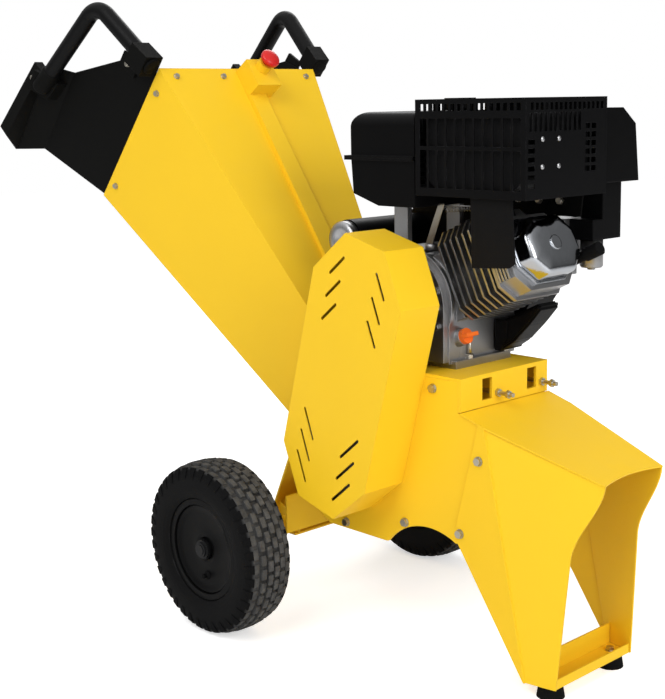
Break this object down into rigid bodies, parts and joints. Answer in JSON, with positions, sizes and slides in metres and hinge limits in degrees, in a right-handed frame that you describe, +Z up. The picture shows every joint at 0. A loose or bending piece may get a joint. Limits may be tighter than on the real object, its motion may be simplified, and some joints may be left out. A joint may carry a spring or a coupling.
{
  "type": "garden shredder",
  "caption": "Wheeled petrol wood chipper: flared feed tray and tall hopper over a belt-driven knife drum, engine on a deck, folded discharge chute as third leg.",
  "frame": {"origin": "on the ground under the wheel axle, midway between the wheels, which is the middle of the footprint", "axes": "+Z up, +X towards the discharge chute, -Y the belt-cover side"},
  "size_m": [1.4616, 0.677, 1.1966],
  "materials": {
    "yellow_paint": "satin powder coat",
    "black_paint": "matt black paint",
    "black_plastic": "matt moulded",
    "engine_alloy": "cast, blasted",
    "zinc_steel": "zinc plated",
    "bright_steel": "ground",
    "cast_iron": "as cast",
    "chrome_cover": "polished",
    "rubber": "matt",
    "tyre": "matt",
    "rim_paint": "dark grey paint",
    "red_plastic": "gloss",
    "orange_plastic": "gloss"
  },
  "bodies": {
    "machine": {"hopper": "yellow_paint", "inlet_tray": "black_paint", "handle_left": "black_paint", "handle_right": "black_paint", "handle_sockets": "black_paint", "stop_switch_box": "yellow_paint", "cable_channel": "yellow_paint", "side_plate_left": "yellow_paint", "side_plate_right": "yellow_paint", "chamber_floor": "yellow_paint", "anvil": "bright_steel", "engine_deck": "yellow_paint", "belt_cover": "yellow_paint", "drive_belts": "rubber", "rotor_bearings": "cast_iron", "axle_bracket": "yellow_paint", "axle": "zinc_steel", "wheel_retainers": "zinc_steel", "discharge_chute": "yellow_paint", "foot_bar": "yellow_paint", "rubber_feet": "rubber", "hopper_bolts": "zinc_steel", "housing_bolts": "zinc_steel", "tension_bolts": "zinc_steel", "engine_studs": "zinc_steel", "crankcase": "engine_alloy", "side_cover": "engine_alloy", "cylinder_barrel": "engine_alloy", "cylinder_head": "engine_alloy", "valve_cover": "chrome_cover", "muffler": "black_paint", "muffler_guard": "black_paint", "air_cleaner": "black_plastic", "intake_elbow": "black_plastic", "carburettor": "engine_alloy", "tank_upper": "black_plastic", "tank_lower": "black_plastic", "fan_housing": "black_plastic", "recoil_cover": "black_plastic", "starter_motor": "black_paint", "spark_plug": "black_plastic"},
    "wheel_left": {"tyre_left": "tyre", "rim_left": "rim_paint"},
    "wheel_right": {"tyre_right": "tyre", "rim_right": "rim_paint"},
    "rotor": {"rotor_drum": "cast_iron", "rotor_knives": "bright_steel", "rotor_shaft": "bright_steel", "rotor_pulley": "cast_iron"},
    "crank": {"crankshaft": "bright_steel", "clutch_pulley": "cast_iron", "flywheel": "cast_iron"},
    "stop_button": {"stop_button": "red_plastic"},
    "throttle_lever": {"throttle_lever": "zinc_steel"},
    "choke_lever": {"choke_lever": "zinc_steel"},
    "fuel_tap": {"fuel_tap": "red_plastic"},
    "fuel_cap": {"fuel_cap": "black_plastic"},
    "oil_plug": {"oil_plug": "orange_plastic"},
    "recoil_grip": {"recoil_grip": "black_plastic"},
    "engine_switch": {"engine_switch": "red_plastic"}
  },
  "joints": [
    {"name": "wheel_left_roll", "type": "hinge", "parent": "machine", "child": "wheel_left", "pos_m": [0, -0.2905, 0.165], "axis": [0, 1, 0], "continuous": true},
    {"name": "wheel_right_roll", "type": "hinge", "parent": "machine", "child": "wheel_right", "pos_m": [0, 0.2905, 0.165], "axis": [0, 1, 0], "continuous": true},
    {"name": "rotor_spin", "type": "hinge", "parent": "machine", "child": "rotor", "pos_m": [0.225, 0, 0.369], "axis": [0, 1, 0], "continuous": true},
    {"name": "crank_spin", "type": "hinge", "parent": "machine", "child": "crank", "pos_m": [0.298, 0, 0.632], "axis": [0, 1, 0], "continuous": true},
    {"name": "stop_press", "type": "slide", "parent": "machine", "child": "stop_button", "axis": [-0.8227, 0, -0.5685], "range_m": [0, 0.006], "stiffness_N_per_m": 1500},
    {"name": "throttle_swing", "type": "hinge", "parent": "machine", "child": "throttle_lever", "pos_m": [0.41, 0.1863, 0.73], "axis": [0, 1, 0], "range_deg": [-20, 25]},
    {"name": "choke_swing", "type": "hinge", "parent": "machine", "child": "choke_lever", "pos_m": [0.494, 0.1563, 0.764], "axis": [0, 1, 0], "range_deg": [-60, 0]},
    {"name": "fuel_tap_swing", "type": "hinge", "parent": "machine", "child": "fuel_tap", "pos_m": [0.476, 0.1563, 0.729], "axis": [0, 1, 0], "range_deg": [0, 90]},
    {"name": "fuel_cap_turn", "type": "hinge", "parent": "machine", "child": "fuel_cap", "pos_m": [0.278, 0.09, 0.98], "axis": [0, 0, 1], "range_deg": [0, 90]},
    {"name": "oil_plug_turn", "type": "hinge", "parent": "machine", "child": "oil_plug", "pos_m": [0.4, -0.04, 0.58], "axis": [0.9397, 0, 0.342], "range_deg": [0, 120]},
    {"name": "recoil_pull", "type": "slide", "parent": "machine", "child": "recoil_grip", "axis": [-0.5, 0, 0.866], "range_m": [0, 0.5], "stiffness_N_per_m": 20, "springref_m": -0.3},
    {"name": "switch_turn", "type": "hinge", "parent": "machine", "child": "engine_switch", "pos_m": [0.158, 0.19, 0.729], "axis": [0, 1, 0], "range_deg": [0, 60]}
  ],
  "couplings": [
    {"joint": "crank_spin", "follows": "rotor_spin", "ratio": 1.4667}
  ]
}
